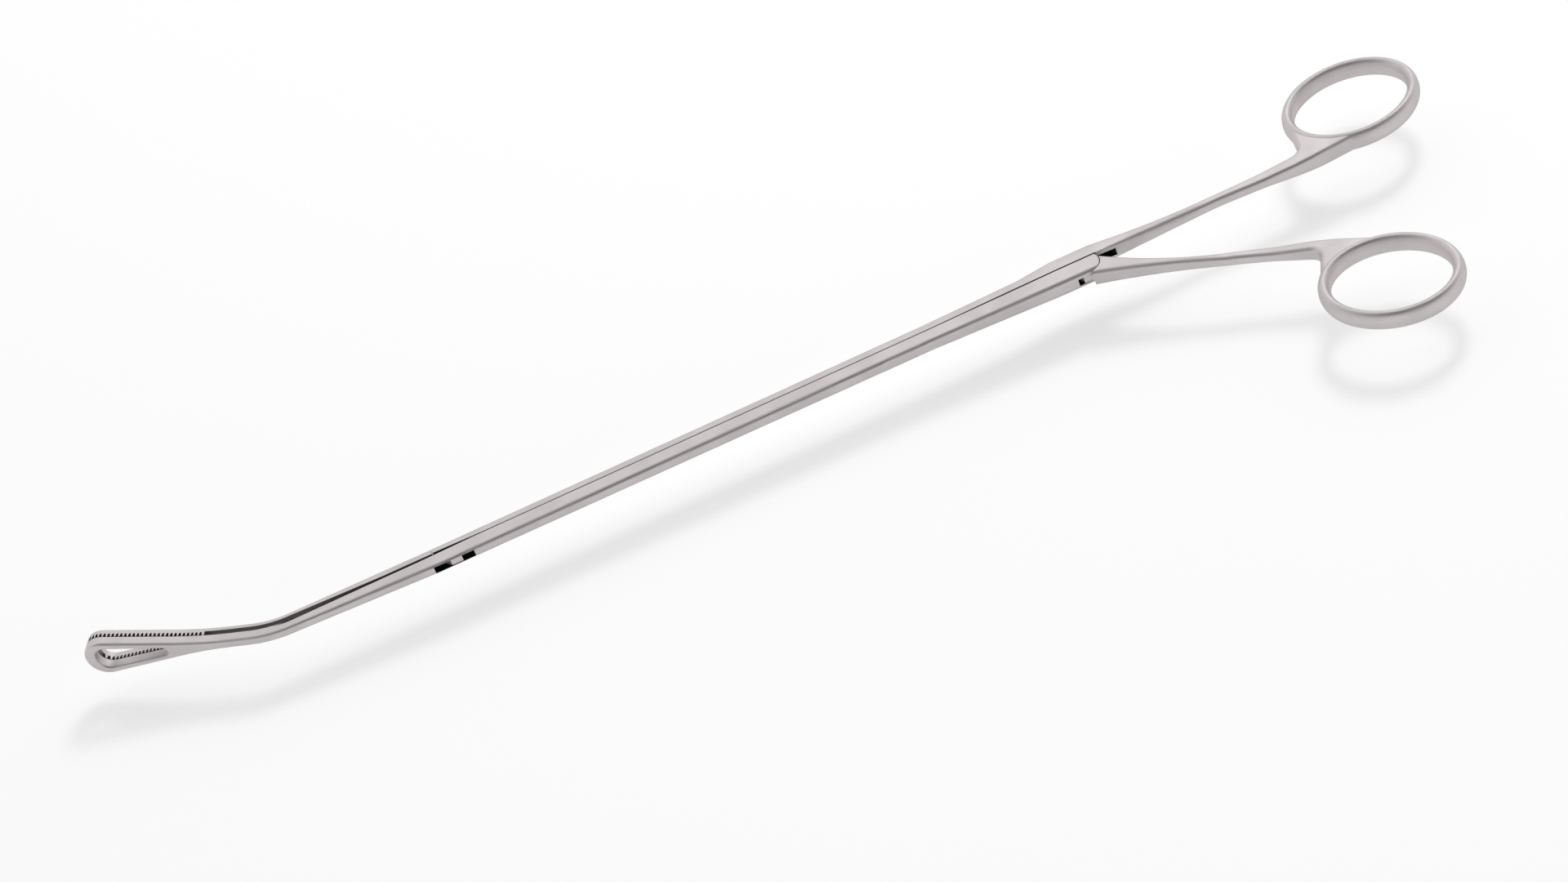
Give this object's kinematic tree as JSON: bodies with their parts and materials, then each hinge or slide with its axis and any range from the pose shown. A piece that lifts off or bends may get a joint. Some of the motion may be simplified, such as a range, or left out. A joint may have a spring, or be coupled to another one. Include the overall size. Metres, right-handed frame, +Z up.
{
  "type": "thoracoscopic forceps",
  "caption": "Long thoracoscopic grasping forceps: ring handles drive a split sliding shaft that opens one of two angled, windowed, toothed jaws.",
  "frame": {"origin": "the handle pivot's axis, on the flat underside of the joint", "axes": "+X from the jaws along the shaft to the finger rings, +Y from the thumb ring's side to the fixed ring's side, +Z up, square to the plane in which the handles open"},
  "size_m": [0.3413, 0.0896, 0.01],
  "materials": {
    "satin_steel": "bead-blasted satin stainless steel",
    "pin_steel": "ground stainless steel"
  },
  "bodies": {
    "near_bar": {"jaw_bar": "satin_steel", "handle_pivot_pin": "pin_steel", "jaw_pivot_pin": "pin_steel"},
    "far_bar": {"handle_bar": "satin_steel", "handle_drive_pin": "pin_steel", "jaw_drive_pin": "pin_steel", "front_guide_stud": "pin_steel", "middle_guide_stud": "pin_steel", "rear_guide_stud": "pin_steel"},
    "thumb": {"thumb_handle": "satin_steel"},
    "far_jaw": {"swing_jaw": "satin_steel"}
  },
  "joints": [
    {"name": "thumb_hinge", "type": "hinge", "parent": "near_bar", "child": "thumb", "pos_m": [0, 0, 0.0022], "axis": [0, 0, -1], "range_deg": [0, 16]},
    {"name": "bar_slide", "type": "slide", "parent": "near_bar", "child": "far_bar", "axis": [1, 0, 0], "range_m": [0, 0.00096]},
    {"name": "jaw_hinge", "type": "hinge", "parent": "near_bar", "child": "far_jaw", "pos_m": [-0.1611, 0.00085, 0.0022], "axis": [0, 0, -1], "range_deg": [0, 27]}
  ],
  "couplings": [
    {"joint": "bar_slide", "follows": "thumb_hinge", "m_per_rad": 0.0034234},
    {"joint": "jaw_hinge", "follows": "thumb_hinge", "ratio": 1.68}
  ]
}
